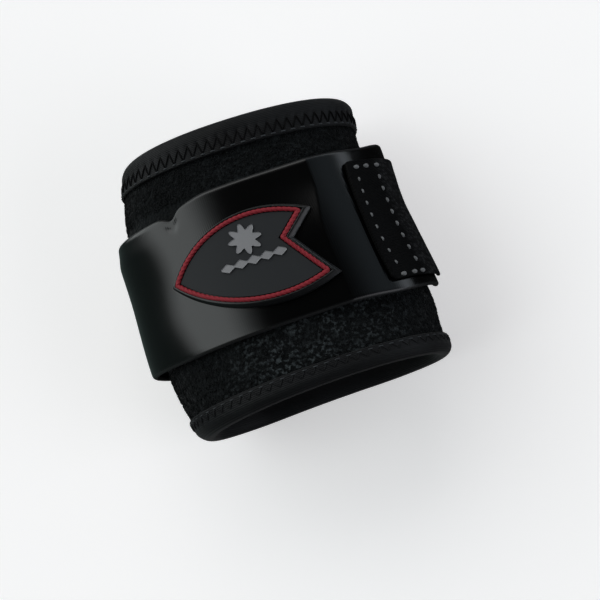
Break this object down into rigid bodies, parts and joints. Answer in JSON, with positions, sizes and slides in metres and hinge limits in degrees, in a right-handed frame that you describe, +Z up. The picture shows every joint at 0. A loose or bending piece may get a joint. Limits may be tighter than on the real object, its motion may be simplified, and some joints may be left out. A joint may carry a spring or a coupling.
{
  "type": "wrist support",
  "caption": "Black padded fabric wrist sleeve with bound rims and a wide glossy strap round it that closes on a hook patch, with a leaf-shaped rubber badge on its front.",
  "frame": {"origin": "centre of the bounding box's base: the surface that the support's flattened back lies on, under its middle", "axes": "+X across the wrist, to the strap's free end with its pull tab; +Y along the wrist to the hand; +Z up, out of the badge's face"},
  "size_m": [0.079, 0.0754, 0.0533],
  "materials": {
    "pile_fabric": "matt brushed loop pile with paler specks",
    "binding_fabric": "smooth satin knit tape",
    "glossy_elastic": "glossy ribbed elastic webbing",
    "hook_tape": "matt hook tape",
    "black_webbing": "close satin webbing with pale grey stitches",
    "badge_rubber": "satin moulded rubber",
    "red_rubber": "satin red cord",
    "pale_rubber": "satin pale grey"
  },
  "bodies": {
    "root": {"sleeve": "pile_fabric", "hand_binding": "binding_fabric", "arm_binding": "binding_fabric", "strap": "glossy_elastic", "hook_patch": "hook_tape", "pull_tab": "black_webbing", "badge_base": "badge_rubber", "badge_cord": "red_rubber", "badge_rosette": "pale_rubber", "badge_lozenges": "pale_rubber"}
  },
  "joints": []
}
